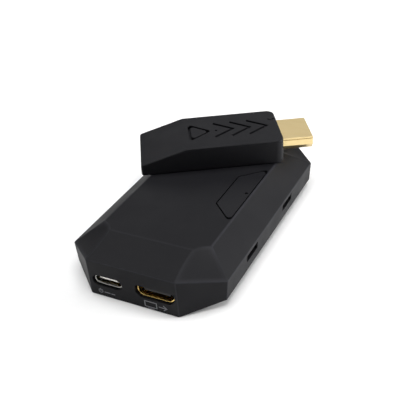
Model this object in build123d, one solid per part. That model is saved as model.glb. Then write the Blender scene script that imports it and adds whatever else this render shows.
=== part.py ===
from build123d import *

import os

# A two-piece streaming set: a faceted box with its ports in the front face, and a plug-in dongle
# that lies on top of it. X runs across the box, Y from its front face to its rear, Z up.
# The origin is the centre of the box's flat underside. All sizes are in millimetres.

# ---- Box housing ----------------------------------------------------------------------------
box_width = 48.6
box_length = 85.3
box_height = 14.2
end_face_half_width = 13.7
corner_depth = 9.3
end_face_top = 12.0
side_wall_top = 8.8
side_wall_foot = 2.4
wall_draft = 0.55
ridge_half_width = 17.0
ridge_setback = 15.2
end_ridge_half_width = 13.2
end_ridge_setback = 12.0
underside_half_width = 16.5
underside_setback = 11.0
wall = 1.4
lid_inset = 0.7
lid_step_height = 3.4
seam = 0.1
overshoot = 1.0

# ---- Box board and screws -------------------------------------------------------------------
board_thickness = 1.2
board_underside = 2.65
board_top = board_underside + board_thickness
board_half_width = 19.4
board_half_length = 40.0
board_end_half_width = 12.8
board_side_half_length = 34.0
screw_x = 14.2
screw_y = 27.5
screw_radius = 1.0
screw_thread_bite = 0.05
screw_head_radius = 1.9
screw_head_height = 1.1
screw_head_recess = 0.5
screw_length = 7.2
screw_cross_width = 0.5
screw_cross_length = 2.2
screw_cross_depth = 0.6
boss_radius = 2.5
screw_clearance = 0.15

# ---- Parts on the box board: place x, place y, size x, size y, height -----------------------
processor = (-4.0, 6.0, 14.0, 14.0, 1.1)
thermal_pad = (-4.0, 6.0, 13.0, 13.0, 0.4)
memory = (-4.0, -10.0, 9.0, 12.0, 1.0)
radio_can = (-2.0, 28.0, 18.0, 14.0, 2.2)
antenna = (-2.0, 38.2, 8.0, 2.0, 1.2)
capacitor_size = (2.0, 1.25, 1.25)
capacitor_columns = (-14.0, 6.0, 10.0)
capacitor_rows = (-22.0, -12.0)
sink_width = 22.0
sink_base = 1.2
fin_count = 7
fin_pitch = 3.4
fin_width = 1.1
fin_height = 3.2
led_length = 1.6
led_width = 0.9
led_height = 0.6

# ---- Ports in the box's front face ----------------------------------------------------------
usb_x = -7.9
usb_z = 5.5
usb_width = 8.94
usb_height = 3.16
usb_depth = 7.3
usb_tongue_width = 6.69
usb_tongue_thickness = 0.7
usb_contacts_in_row = 12
usb_contact_pitch = 0.5
usb_contact_length = 3.6
video_x = 6.95
video_z = 5.65
video_width = 11.5
video_height = 3.5
video_depth = 7.6
video_corner = 1.3
video_tongue_width = 8.2
video_tongue_thickness = 0.8
video_contact_count = 19
video_contact_pitch = 0.4
video_contact_length = 4.0
port_wall = 0.3
port_gap = 0.2
port_recess = 0.8
port_back = 1.5
tongue_setback = 0.8
contact_setback = 1.4
contact_width = 0.24
contact_thickness = 0.08

# ---- Slots in the long sides ----------------------------------------------------------------
slot_length = 7.6
slot_top = 7.95
slot_height = 2.2
slot_cut_depth = 4.2
slot_places = (-16.6, 11.0)

# ---- Box button -----------------------------------------------------------------------------
box_button_y = 0.5
box_button_inner_x = 9.3
box_button_outer_x = 16.2
box_button_short_half = 8.0
box_button_long_half = 14.8
box_button_gap = 0.4
box_button_corner = 0.9
box_button_depth = 2.0
box_button_tab_width = 2.0
box_button_tab_length = 9.0
box_button_tab_thickness = 0.6
box_button_stem_radius = 1.2
box_switch_x = 12.6
box_switch_side = 3.6
box_switch_height = 2.9
box_switch_floor = 0.8
box_plunger_radius = 0.85
box_plunger_low = 1.6
box_plunger_high = 3.9
box_led_x = 15.2
light_pipe_radius = 0.5
light_pipe_gap = 0.5
light_pipe_sink = 0.5

# ---- Dongle ---------------------------------------------------------------------------------
dongle_length = 45.2
dongle_width = 22.4
dongle_height = 7.9
dongle_tail_height = 3.55
dongle_bend = 30.6
dongle_corner = 2.6
dongle_tail_corner = 0.8
dongle_wall = 1.1
dongle_lid_inset = 0.55
dongle_x = 13.6
dongle_y = 31.2
dongle_turn = 31.1
dongle_board_underside = 3.5
dongle_board_thickness = 0.8
dongle_board_top = dongle_board_underside + dongle_board_thickness
dongle_board_length = 34.0
dongle_board_width = 17.0
dongle_board_setback = 2.2
rib_places = (-6.0, -33.0)
rib_y = 7.6
rib_length = 2.5
rib_width = 1.2
dongle_button_x = -28.5
dongle_button_tip_x = -23.0
dongle_button_half = 4.6
dongle_button_corner = 0.9
dongle_button_gap = 0.75
dongle_button_lip = 1.2
dongle_button_lip_thickness = 0.5
dongle_button_stem_radius = 0.9
dongle_switch_x = dongle_button_x + 2.3
dongle_switch_side = 3.2
dongle_switch_height = 1.0
dongle_switch_floor = 0.3
dongle_plunger_radius = 0.65
dongle_plunger_low = 0.7
dongle_plunger_high = 1.4
switch_well_clearance = 0.15
dongle_led_x = -20.3
dongle_led_width = 1.0
dongle_light_pipe_gap = 0.2
groove_width = 1.0
groove_depth = 0.6
chevron_count = 3
chevron_reach = 6.1
chevron_half = 4.8
chevron_pitch = 5.5
chevron_last_tip = -3.6
chevron_y = 0.3
curl_mark_x = -1.8
curl_mark_y = 5.0
curl_mark_outer = 1.15
curl_mark_inner = 0.55
curl_mark_depth = 0.5

# ---- Parts on the dongle board: place x, size x, size y, height ------------------------------
dongle_radio_can = (-11.0, 12.0, 12.0, 1.6)
dongle_processor = (-20.0, 10.0, 10.0, 1.0)
dongle_pad_side = 9.0
dongle_memory = (-10.0, 7.0, 9.0, 0.9)
dongle_antenna = (-34.8, 1.6, 7.0, 0.5)

# ---- Plug of the dongle ---------------------------------------------------------------------
plug_width = 13.9
plug_height = 4.45
plug_length = 9.9
plug_root = 2.0
plug_wall = 0.35
plug_z = 3.92
plug_side_height = 2.6
plug_taper = 1.5
plug_core_reach = 1.2
plug_bed_offset = 0.9
plug_bed_thickness = 0.5
plug_bed_setback = 1.6
plug_bed_side_gap = 1.3
plug_ceiling_side_gap = 0.9
plug_contacts = 19
plug_contact_pitch = 0.5
plug_contact_width = 0.3
plug_contact_thickness = 0.12
plug_contact_setback = 2.2


def save(shape, name):
    export_step(shape, "parts/" + name + ".step")


def facet(a, b, c):
    """The plane of one flat face of the box, with its normal pointing out of the box."""
    origin = Vector(*a)
    normal = (Vector(*b) - origin).cross(Vector(*c) - origin).normalized()
    if normal.dot(origin - Vector(0, 0, box_height / 2)) < 0:
        normal = normal * -1
    return Plane(origin=origin, z_dir=normal)


def box_facets():
    """Every flat face of the box, from the rim points of one corner and their mirror images."""
    half_x = box_width / 2
    half_y = box_length / 2
    side_y = half_y - corner_depth
    top = facet((0, 0, box_height), (1, 0, box_height), (0, 1, box_height))
    underside = facet((0, 0, 0), (1, 0, 0), (0, 1, 0))
    planes = [top, underside]
    for sy in (1, -1):
        end_left = (-end_face_half_width, sy * half_y, end_face_top)
        end_right = (end_face_half_width, sy * half_y, end_face_top)
        end_foot = (0, sy * (half_y - wall_draft), 0)
        end_ridge = (0, sy * (half_y - end_ridge_setback), box_height)
        planes.append(facet(end_left, end_right, end_foot))
        planes.append(facet(end_left, end_right, end_ridge))
    for sx in (1, -1):
        side_front = (sx * half_x, -side_y, side_wall_top)
        side_rear = (sx * half_x, side_y, side_wall_top)
        side_foot = (sx * (half_x - wall_draft), 0, side_wall_foot)
        side_ridge = (sx * ridge_half_width, 0, box_height)
        under_ridge = (sx * underside_half_width, 0, 0)
        foot_front = (sx * (half_x - wall_draft), -side_y, side_wall_foot)
        planes.append(facet(side_front, side_rear, side_foot))
        planes.append(facet(side_front, side_rear, side_ridge))
        planes.append(facet(side_foot, foot_front, under_ridge))
    for sx in (1, -1):
        for sy in (1, -1):
            end_top = (sx * end_face_half_width, sy * half_y, end_face_top)
            side_top = (sx * half_x, sy * side_y, side_wall_top)
            ridge = (sx * ridge_half_width, sy * (half_y - ridge_setback), box_height)
            end_ridge = (sx * end_ridge_half_width, sy * (half_y - end_ridge_setback), box_height)
            slant = Vector(corner_depth, sy * sx * (half_x - end_face_half_width), 0).normalized()
            wall_point = ((end_top[0] + side_top[0]) / 2 - sx * slant.X * wall_draft,
                          (end_top[1] + side_top[1]) / 2 - sx * slant.Y * wall_draft, 0)
            side_foot = (sx * (half_x - wall_draft), sy * side_y, side_wall_foot)
            end_foot = (sx * end_face_half_width, sy * (half_y - wall_draft), 0)
            under = (sx * underside_half_width, sy * (half_y - underside_setback), 0)
            planes.append(facet(end_top, side_top, wall_point))
            planes.append(facet(end_top, side_top, ridge))
            planes.append(facet(end_top, ridge, end_ridge))
            planes.append(facet(end_foot, side_foot, under))
    return planes


def faceted_block(inset):
    """The closed shape of the box, with every face moved in by the inset."""
    around = 2 * overshoot
    block = Pos(0, 0, box_height / 2) * Box(box_width + around, box_length + around, box_height + around)
    for plane in box_facets():
        moved = Plane(origin=plane.origin - plane.z_dir * inset, z_dir=plane.z_dir)
        block = split(block, bisect_by=moved, keep=Keep.BOTTOM)
    return block


def octagon_prism(half_x, half_y, end_x, side_y, low, high):
    """A block with an eight-sided plan, between two heights."""
    points = [(end_x, -half_y), (half_x, -side_y), (half_x, side_y), (end_x, half_y),
              (-end_x, half_y), (-half_x, side_y), (-half_x, -side_y), (-end_x, -half_y)]
    return Pos(0, 0, low) * extrude(make_face(Polyline(*points, close=True)), high - low)


def plan_prism(inset, low, high):
    """The plan of the box, with every side drawn in by the inset, between two heights."""
    half_x = box_width / 2
    half_y = box_length / 2
    slant_x = half_x - end_face_half_width
    slant = (slant_x ** 2 + corner_depth ** 2) ** 0.5
    end_x = end_face_half_width - inset * (slant - slant_x) / corner_depth
    side_y = half_y - corner_depth - inset * (slant - corner_depth) / slant_x
    return octagon_prism(half_x - inset, half_y - inset, end_x, side_y, low, high)


def tube(x, y, low, high, radius):
    return Pos(x, y, (low + high) / 2) * Cylinder(radius, high - low)


def block_at(x, y, low, size_x, size_y, size_z):
    return Pos(x, y, low + size_z / 2) * Box(size_x, size_y, size_z)


def on_board(part):
    """A part that sits on the box board."""
    x, y, size_x, size_y, height = part
    return block_at(x, y, board_top, size_x, size_y, height)


def screw_points():
    return [(sx * screw_x, sy * screw_y) for sx in (1, -1) for sy in (1, -1)]


def front_y(z):
    """Where the drafted front face stands at a height."""
    return -box_length / 2 + wall_draft * (1 - z / end_face_top)


def port_prism(outline, x, z, start, depth):
    """An outline in the XZ plane, pushed back from a depth behind the front face."""
    placed = Plane(origin=(x, start, z), x_dir=(1, 0, 0), z_dir=(0, 1, 0))
    return extrude(placed * outline, depth)


def usb_outline(grow):
    height = usb_height + 2 * grow
    return RectangleRounded(usb_width + 2 * grow, height, height * 0.49)


def video_outline(grow):
    """A rectangle whose two lower corners are cut off at a slant."""
    half = video_width / 2 + grow
    top = video_height / 2 + grow
    cut = video_corner + grow * (2 - 2 ** 0.5)
    points = [(-half, -top), (half, -top), (half, top - cut), (half - cut, top),
              (-half + cut, top), (-half, top - cut)]
    return make_face(Polyline(*points, close=True))


def button_outline(grow):
    """The trapezoid of the box's button, long side outwards, with rounded corners."""
    slant = (box_button_long_half - box_button_short_half) / (box_button_outer_x - box_button_inner_x)
    spread = grow * (1 + slant * slant) ** 0.5
    inner = box_button_inner_x - grow
    outer = box_button_outer_x + grow
    short = box_button_short_half + spread - grow * slant
    long = box_button_long_half + spread + grow * slant
    points = [(inner, -short), (outer, -long), (outer, long), (inner, short)]
    face = make_face(Polyline(*points, close=True))
    rounded = fillet(face.vertices(), box_button_corner)
    return Pos(0, box_button_y) * rounded


# ---- Box pieces -----------------------------------------------------------------------------
def box_shell():
    return faceted_block(0) - faceted_block(wall)


def box_top_cover():
    """Top, walls and the four posts that the screws bite into, open at the bottom."""
    cover = box_shell()
    cover -= plan_prism(lid_inset, -overshoot, lid_step_height)
    inner = faceted_block(wall / 2)
    for x, y in screw_points():
        cover += tube(x, y, board_top, box_height, boss_radius) & inner
    screw_end = screw_head_recess + screw_head_height + screw_length
    for x, y in screw_points():
        cover -= tube(x, y, board_top - overshoot, screw_end + overshoot / 2, screw_radius)
    start = -box_length / 2 - overshoot
    reach = 2 * overshoot + wall + wall_draft
    cover -= port_prism(usb_outline(port_gap), usb_x, usb_z, start, reach)
    cover -= port_prism(video_outline(port_gap), video_x, video_z, start, reach)
    for side in (1, -1):
        for place in slot_places:
            x = side * box_width / 2
            cover -= block_at(x, place, slot_top - slot_height, slot_cut_depth, slot_length, slot_height)
    opening = extrude(button_outline(box_button_gap), wall + 2 * overshoot)
    cover -= Pos(0, 0, box_height - wall - overshoot) * opening
    return cover


def box_bottom_cover():
    """The faceted floor, with a raised rim inside the walls and a tube for each screw."""
    floor = box_shell() & plan_prism(lid_inset + seam, -overshoot, lid_step_height - seam)
    head_seat = screw_head_recess + screw_head_height
    for x, y in screw_points():
        floor += tube(x, y, wall / 2, board_underside, boss_radius)
    for x, y in screw_points():
        floor -= tube(x, y, -overshoot, board_underside + overshoot, screw_radius + screw_clearance)
        floor -= tube(x, y, -overshoot, head_seat, screw_head_radius + screw_clearance)
    return floor


def cover_screws():
    """Four pan-head screws with a cross recess, as one group."""
    screws = []
    for x, y in screw_points():
        head_top = screw_head_recess + screw_head_height
        head = tube(x, y, screw_head_recess, head_top, screw_head_radius)
        shank = tube(x, y, head_top, head_top + screw_length, screw_radius - screw_thread_bite)
        screw = head + shank
        for long, wide in ((screw_cross_length, screw_cross_width), (screw_cross_width, screw_cross_length)):
            screw -= block_at(x, y, screw_head_recess, long, wide, screw_cross_depth)
        screws.append(screw)
    return Compound(children=screws)


def box_board():
    """The circuit board, with a hole for each screw."""
    board = octagon_prism(board_half_width, board_half_length, board_end_half_width, board_side_half_length,
                          board_underside, board_top)
    for x, y in screw_points():
        board -= tube(x, y, 0, board_top + overshoot, screw_radius + screw_clearance)
    return board


def usb_shell():
    outer = port_prism(usb_outline(0), usb_x, usb_z, front_y(usb_z) + port_recess, usb_depth)
    inner = port_prism(usb_outline(-port_wall), usb_x, usb_z, front_y(usb_z), usb_depth + 2 * overshoot)
    return outer - inner


def usb_tongue():
    """The tongue and the block that closes the back of the shell."""
    start = front_y(usb_z) + port_recess
    tongue = block_at(usb_x, start + (tongue_setback + usb_depth) / 2, usb_z - usb_tongue_thickness / 2,
                      usb_tongue_width, usb_depth - tongue_setback, usb_tongue_thickness)
    back = port_prism(usb_outline(-port_wall), usb_x, usb_z, start + usb_depth - port_back, port_back)
    return tongue + back


def strip_low(middle, tongue_thickness, side):
    """The lower face of a contact strip that lies on the top or the underside of a tongue."""
    surface = middle + side * tongue_thickness / 2
    return surface if side > 0 else surface - contact_thickness


def usb_contacts():
    """Twelve contact strips above and twelve below the tongue."""
    y = front_y(usb_z) + port_recess + contact_setback + usb_contact_length / 2
    strips = []
    for index in range(usb_contacts_in_row):
        x = usb_x + (index - (usb_contacts_in_row - 1) / 2) * usb_contact_pitch
        for side in (1, -1):
            low = strip_low(usb_z, usb_tongue_thickness, side)
            strips.append(block_at(x, y, low, contact_width, usb_contact_length, contact_thickness))
    return Compound(children=strips)


def video_shell():
    outer = port_prism(video_outline(0), video_x, video_z, front_y(video_z) + port_recess, video_depth)
    inner = port_prism(video_outline(-port_wall), video_x, video_z, front_y(video_z),
                       video_depth + 2 * overshoot)
    return outer - inner


def video_tongue():
    """The tongue and the block that closes the back of the shell."""
    start = front_y(video_z) + port_recess
    tongue = block_at(video_x, start + (tongue_setback + video_depth) / 2,
                      video_z - video_tongue_thickness / 2,
                      video_tongue_width, video_depth - tongue_setback, video_tongue_thickness)
    back = port_prism(video_outline(-port_wall), video_x, video_z, start + video_depth - port_back, port_back)
    return tongue + back


def video_contacts():
    """The contact strips on the underside and the top of the tongue."""
    y = front_y(video_z) + port_recess + contact_setback + video_contact_length / 2
    strips = []
    for index in range(video_contact_count):
        x = video_x + (index - (video_contact_count - 1) / 2) * video_contact_pitch
        side = 1 if index % 2 else -1
        low = strip_low(video_z, video_tongue_thickness, side)
        strips.append(block_at(x, y, low, contact_width, video_contact_length, contact_thickness))
    return Compound(children=strips)


def box_button():
    """The pressed cap with its holding tabs and the stem that reaches the switch."""
    low = box_height - box_button_depth
    cap = Pos(0, 0, low) * extrude(button_outline(0), box_button_depth)
    tab_low = box_height - wall - seam - box_button_tab_thickness
    cap += block_at(box_button_inner_x, box_button_y, tab_low, box_button_tab_width,
                    box_button_tab_length, box_button_tab_thickness)
    cap += tube(box_switch_x, box_button_y, board_top + box_plunger_high, low, box_button_stem_radius)
    cap -= tube(box_led_x, box_button_y, low - overshoot, box_height + overshoot, light_pipe_radius)
    return cap


def box_light_pipe():
    low = board_top + led_height + light_pipe_gap
    return tube(box_led_x, box_button_y, low, box_height - light_pipe_sink, light_pipe_radius)


def box_switch():
    """The switch body, with the well its plunger slides in."""
    body = block_at(box_switch_x, box_button_y, board_top, box_switch_side, box_switch_side,
                    box_switch_height)
    return body - tube(box_switch_x, box_button_y, board_top + box_switch_floor,
                       board_top + box_switch_height + overshoot, box_plunger_radius + switch_well_clearance)


def box_switch_plunger():
    return tube(box_switch_x, box_button_y, board_top + box_plunger_low, board_top + box_plunger_high,
                box_plunger_radius)


def box_led():
    return block_at(box_led_x, box_button_y, board_top, led_width, led_length, led_height)


def box_thermal_pad():
    x, y, size_x, size_y, height = thermal_pad
    return block_at(x, y, board_top + processor[4], size_x, size_y, height)


def box_heat_sink():
    """A plate with fins that spreads the processor's heat."""
    x = processor[0]
    y = processor[1]
    low = board_top + processor[4] + thermal_pad[4]
    sink = block_at(x, y, low, sink_width, sink_width, sink_base)
    for index in range(fin_count):
        fin_x = x + (index - (fin_count - 1) / 2) * fin_pitch
        sink += block_at(fin_x, y, low + sink_base, fin_width, sink_width, fin_height)
    return sink


def box_capacitors():
    size_x, size_y, height = capacitor_size
    parts = [block_at(x, y, board_top, size_x, size_y, height) for x in capacitor_columns
             for y in capacitor_rows]
    return Compound(children=parts)


# ---- Dongle pieces, in the dongle's own frame ------------------------------------------------
# Its X runs towards the plug, from the plug-end face of the body; Z is up from its underside.
def dongle_body(inset):
    """The shape of the dongle, flat and then sloping down to its tail, drawn in by the inset."""
    slope = (dongle_height - dongle_tail_height) / (dongle_length - dongle_bend)
    lift = inset * ((1 + slope * slope) ** 0.5 - 1)
    tail_top = dongle_tail_height - inset + inset * slope - lift
    bend = dongle_bend - lift / slope
    points = [(-inset, inset), (-inset, dongle_height - inset), (-bend, dongle_height - inset),
              (-dongle_length + inset, tail_top), (-dongle_length + inset, inset)]
    profile = Plane.XZ * make_face(Polyline(*points, close=True))
    body = extrude(profile, dongle_width / 2 - inset, both=True)
    upright = body.edges().filter_by(Axis.Z)
    plug_end = upright.group_by(Axis.X)[-1]
    body = fillet(plug_end, dongle_corner - inset)
    tail_end = body.edges().filter_by(Axis.Z).group_by(Axis.X)[0]
    return fillet(tail_end, max(dongle_tail_corner - inset, dongle_tail_corner / 4))


def plan_of_dongle(inset, low, high):
    long = dongle_length - 2 * inset
    across = dongle_width - 2 * inset
    return block_at(-dongle_length / 2, 0, low, long, across, high - low)


def triangle_outline(grow):
    """The dongle button: a triangle that points at the plug, with rounded corners."""
    reach = dongle_button_tip_x - dongle_button_x
    side = (reach * reach + dongle_button_half * dongle_button_half) ** 0.5
    tip_grow = grow * side / dongle_button_half
    base_grow = grow * (side + dongle_button_half) / reach
    points = [(dongle_button_x - grow, -dongle_button_half - base_grow),
              (dongle_button_tip_x + tip_grow, 0),
              (dongle_button_x - grow, dongle_button_half + base_grow)]
    face = make_face(Polyline(*points, close=True))
    return fillet(face.vertices(), dongle_button_corner)


def chevron(tip):
    """One engraved arrow, pointing at the plug."""
    half = groove_width / 2
    points = [(tip - chevron_reach, chevron_half + half), (tip + half, 0),
              (tip - chevron_reach, -chevron_half - half), (tip - chevron_reach - half, -chevron_half + half),
              (tip - 2 * half, 0), (tip - chevron_reach - half, chevron_half - half)]
    stroke = extrude(make_face(Polyline(*points, close=True)), groove_depth + overshoot)
    return Pos(0, chevron_y, dongle_height - groove_depth) * stroke


def curl_mark():
    """A small engraved half ring beside the plug."""
    low = dongle_height - curl_mark_depth
    high = dongle_height + overshoot
    ring = tube(curl_mark_x, curl_mark_y, low, high, curl_mark_outer)
    ring -= tube(curl_mark_x, curl_mark_y, low, high, curl_mark_inner)
    side = 2 * curl_mark_outer
    return ring & block_at(curl_mark_x, curl_mark_y - curl_mark_outer, low, side, side, high - low)


def plug_outline(grow):
    """The plug's section across its length: full width above, narrowing below."""
    half = plug_width / 2 + grow
    top = plug_height / 2 + grow
    knee = plug_height / 2 - plug_side_height
    points = [(-half, top), (half, top), (half, knee), (half - plug_taper, -top),
              (-half + plug_taper, -top), (-half, knee)]
    return make_face(Polyline(*points, close=True))


def plug_prism(grow, start, end):
    placed = Plane(origin=(start, 0, plug_z), x_dir=(0, 1, 0), z_dir=(1, 0, 0))
    return extrude(placed * plug_outline(grow), end - start)


def dongle_top_cover():
    """Top and walls, with the openings for the plug, the button and the light, and the engraving."""
    cover = dongle_body(0) - dongle_body(dongle_wall)
    cover -= plan_of_dongle(dongle_lid_inset, -overshoot, dongle_wall)
    cover -= plug_prism(seam, -dongle_wall - overshoot, overshoot)
    roof = dongle_height - dongle_wall
    opening = extrude(triangle_outline(dongle_button_gap), dongle_wall + 2 * overshoot)
    cover -= Pos(0, 0, roof - overshoot) * opening
    cover -= tube(dongle_led_x, 0, roof - overshoot, dongle_height + overshoot, light_pipe_radius)
    for index in range(chevron_count):
        cover -= chevron(chevron_last_tip - index * chevron_pitch)
    return cover - curl_mark()


def dongle_bottom_cover():
    """The floor of the dongle, with four ribs that carry the board."""
    floor_top = dongle_wall - seam
    floor = dongle_body(0) & plan_of_dongle(dongle_lid_inset + seam, 0, floor_top)
    for x in rib_places:
        for side in (1, -1):
            floor += block_at(x, side * rib_y, floor_top, rib_length, rib_width,
                              dongle_board_underside - floor_top)
    return floor


def dongle_board():
    x = -dongle_board_length / 2 - dongle_board_setback
    return block_at(x, 0, dongle_board_underside, dongle_board_length, dongle_board_width,
                    dongle_board_thickness)


def plug_shell():
    """The plated metal sleeve of the plug, open at both ends."""
    sleeve = plug_prism(0, -plug_root, plug_length)
    return sleeve - plug_prism(-plug_wall, -plug_root - overshoot, plug_length + overshoot)


def plug_insulator():
    """The plastic block at the plug's root and the thin bed that carries the contacts."""
    core = plug_prism(-plug_wall, -plug_root, plug_core_reach)
    reach = plug_length - plug_bed_setback
    x = plug_core_reach / 2 + reach / 2
    bed = block_at(x, 0, plug_z - plug_bed_offset, reach, plug_width - 2 * plug_bed_side_gap,
                   plug_bed_thickness)
    ceiling = block_at(x, 0, plug_z + plug_bed_offset, reach, plug_width - 2 * plug_ceiling_side_gap,
                       plug_bed_thickness)
    return core + bed + ceiling


def plug_contact_strips():
    """Nineteen strips, by turns under the ceiling and on the bed."""
    reach = plug_length - plug_contact_setback - plug_core_reach
    x = plug_core_reach + reach / 2
    strips = []
    for index in range(plug_contacts):
        y = (index - (plug_contacts - 1) / 2) * plug_contact_pitch
        bed_top = plug_z - plug_bed_offset + plug_bed_thickness
        low = bed_top if index % 2 else plug_z + plug_bed_offset - plug_contact_thickness
        strips.append(block_at(x, y, low, reach, plug_contact_width, plug_contact_thickness))
    return Compound(children=strips)


def dongle_button():
    """The triangular cap, with a lip under the cover and a short stem."""
    cap_low = dongle_height - dongle_wall - seam
    lip_low = cap_low - dongle_button_lip_thickness
    cap = Pos(0, 0, cap_low) * extrude(triangle_outline(0), dongle_wall + seam)
    lip = Pos(0, 0, lip_low) * extrude(triangle_outline(dongle_button_lip), dongle_button_lip_thickness)
    stem = tube(dongle_switch_x, 0, dongle_board_top + dongle_plunger_high, lip_low,
                dongle_button_stem_radius)
    return cap + lip + stem


def dongle_switch():
    body = block_at(dongle_switch_x, 0, dongle_board_top, dongle_switch_side, dongle_switch_side,
                    dongle_switch_height)
    return body - tube(dongle_switch_x, 0, dongle_board_top + dongle_switch_floor,
                       dongle_board_top + dongle_switch_height + overshoot,
                       dongle_plunger_radius + switch_well_clearance)


def dongle_switch_plunger():
    return tube(dongle_switch_x, 0, dongle_board_top + dongle_plunger_low,
                dongle_board_top + dongle_plunger_high, dongle_plunger_radius)


def dongle_light_pipe():
    low = dongle_board_top + led_height + dongle_light_pipe_gap
    return tube(dongle_led_x, 0, low, dongle_height - light_pipe_sink, light_pipe_radius)


def dongle_led():
    return block_at(dongle_led_x, 0, dongle_board_top, dongle_led_width, led_length, led_height)


def above_board(part):
    """A part that sits on the dongle board."""
    x, size_x, size_y, height = part
    return block_at(x, 0, dongle_board_top, size_x, size_y, height)


def below_board(part):
    """A part that hangs under the dongle board."""
    x, size_x, size_y, height = part
    return block_at(x, 0, dongle_board_underside - height, size_x, size_y, height)


def dongle_thermal_pad():
    """The pad between the processor and the floor."""
    floor_top = dongle_wall - seam
    gap = dongle_board_underside - dongle_processor[3] - floor_top
    return block_at(dongle_processor[0], 0, floor_top, dongle_pad_side, dongle_pad_side, gap)


def placed(shape):
    """A dongle piece, turned and set down where the dongle lies on the box."""
    return Pos(dongle_x, dongle_y, box_height) * Rot(0, 0, dongle_turn) * shape


def build():
    os.makedirs("parts", exist_ok=True)
    save(box_top_cover(), "box_top_cover")
    save(box_bottom_cover(), "box_bottom_cover")
    save(cover_screws(), "cover_screws")
    save(box_board(), "box_board")
    save(usb_shell(), "usb_shell")
    save(usb_tongue(), "usb_tongue")
    save(usb_contacts(), "usb_contacts")
    save(video_shell(), "video_shell")
    save(video_tongue(), "video_tongue")
    save(video_contacts(), "video_contacts")
    save(box_button(), "box_button")
    save(box_light_pipe(), "box_light_pipe")
    save(box_switch(), "box_switch")
    save(box_switch_plunger(), "box_switch_plunger")
    save(box_led(), "box_led")
    save(on_board(processor), "box_processor")
    save(box_thermal_pad(), "box_thermal_pad")
    save(box_heat_sink(), "box_heat_sink")
    save(on_board(memory), "box_memory")
    save(on_board(radio_can), "radio_shield")
    save(on_board(antenna), "box_antenna")
    save(box_capacitors(), "box_capacitors")
    save(placed(dongle_top_cover()), "dongle_top_cover")
    save(placed(dongle_bottom_cover()), "dongle_bottom_cover")
    save(placed(dongle_board()), "dongle_board")
    save(placed(plug_shell()), "plug_shell")
    save(placed(plug_insulator()), "plug_insulator")
    save(placed(plug_contact_strips()), "plug_contacts")
    save(placed(dongle_button()), "dongle_button")
    save(placed(dongle_switch()), "dongle_switch")
    save(placed(dongle_switch_plunger()), "dongle_switch_plunger")
    save(placed(dongle_light_pipe()), "dongle_light_pipe")
    save(placed(dongle_led()), "dongle_led")
    save(placed(above_board(dongle_radio_can)), "dongle_radio_shield")
    save(placed(below_board(dongle_processor)), "dongle_processor")
    save(placed(dongle_thermal_pad()), "dongle_thermal_pad")
    save(placed(below_board(dongle_memory)), "dongle_memory")
    save(placed(above_board(dongle_antenna)), "dongle_antenna")


build()
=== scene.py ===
"""Finished look of a two-piece streaming set: a faceted box and the plug-in dongle that lies on it."""
import math

import bmesh
import bpy
from bpy.props import FloatProperty, FloatVectorProperty, PointerProperty
from bpy.types import Operator, Panel, PropertyGroup
from mathutils import Matrix, Quaternion, Vector
from mathutils.geometry import intersect_point_line


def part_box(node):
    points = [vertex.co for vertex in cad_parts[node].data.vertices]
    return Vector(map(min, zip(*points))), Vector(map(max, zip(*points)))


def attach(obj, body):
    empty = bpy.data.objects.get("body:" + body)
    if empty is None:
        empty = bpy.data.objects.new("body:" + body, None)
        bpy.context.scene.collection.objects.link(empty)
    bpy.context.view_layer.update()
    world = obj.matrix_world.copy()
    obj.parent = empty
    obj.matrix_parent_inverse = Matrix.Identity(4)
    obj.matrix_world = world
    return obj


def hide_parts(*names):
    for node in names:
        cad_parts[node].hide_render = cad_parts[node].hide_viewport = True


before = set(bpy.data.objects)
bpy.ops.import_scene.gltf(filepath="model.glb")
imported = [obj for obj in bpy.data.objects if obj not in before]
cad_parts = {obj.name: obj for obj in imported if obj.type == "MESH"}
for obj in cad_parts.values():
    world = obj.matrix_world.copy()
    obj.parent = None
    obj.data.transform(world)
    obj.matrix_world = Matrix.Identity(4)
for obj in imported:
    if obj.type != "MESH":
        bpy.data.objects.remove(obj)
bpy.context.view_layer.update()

bl_info = {
    "name": "Streaming Box And Dongle",
    "version": (1, 0, 0),
    "blender": (4, 5, 0),
    "location": "View3D > Sidebar > Streaming Set",
    "description": "Builds the finished pieces of a streaming box and its plug-in dongle",
    "category": "Object",
}

MM = 0.001
SHELL_LOW, SHELL_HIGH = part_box("box_top_cover")
DONGLE_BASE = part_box("dongle_bottom_cover")[0].z
SLOT_PLACES = (-16.6 * MM, 11.0 * MM)
SLEEVE_WALL = 0.4 * MM
DONGLE_TURN = math.radians(31.1)
DONGLE_FACE = Vector((13.6 * MM, 31.2 * MM, DONGLE_BASE))
DONGLE_PLACE = Matrix.Translation(DONGLE_FACE) @ Matrix.Rotation(DONGLE_TURN, 4, "Z")
# Turns between two facets in degrees: those of the rim are steeper than one, those never rounded are
# gentler than the other. A face whose area is larger than this times its outline is a flat one.
RIM_TURN = 35
LEAST_TURN = 7
WIDE_FACE = 0.5 * MM


def linear(hex_colour):
    """An sRGB hex value as a linear RGBA colour."""
    channels = [int(hex_colour[i:i + 2], 16) / 255 for i in (1, 3, 5)]
    return [c / 12.92 if c <= 0.04045 else ((c + 0.055) / 1.055) ** 2.4 for c in channels] + [1.0]


def length(name, description, millimetres):
    """A size, never below zero."""
    return FloatProperty(name=name, description=description, default=millimetres * MM, unit="LENGTH",
                         subtype="DISTANCE", min=0, precision=5)


def position(name, description, millimetres):
    """A place along the dongle, negative towards its tail."""
    return FloatProperty(name=name, description=description, default=millimetres * MM, unit="LENGTH",
                         subtype="DISTANCE", precision=5)


def colour(name, description, hex_colour):
    """A colour given as sRGB hex."""
    return FloatVectorProperty(name=name, description=description, default=linear(hex_colour), size=4,
                               subtype="COLOR", min=0, max=1)


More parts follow.
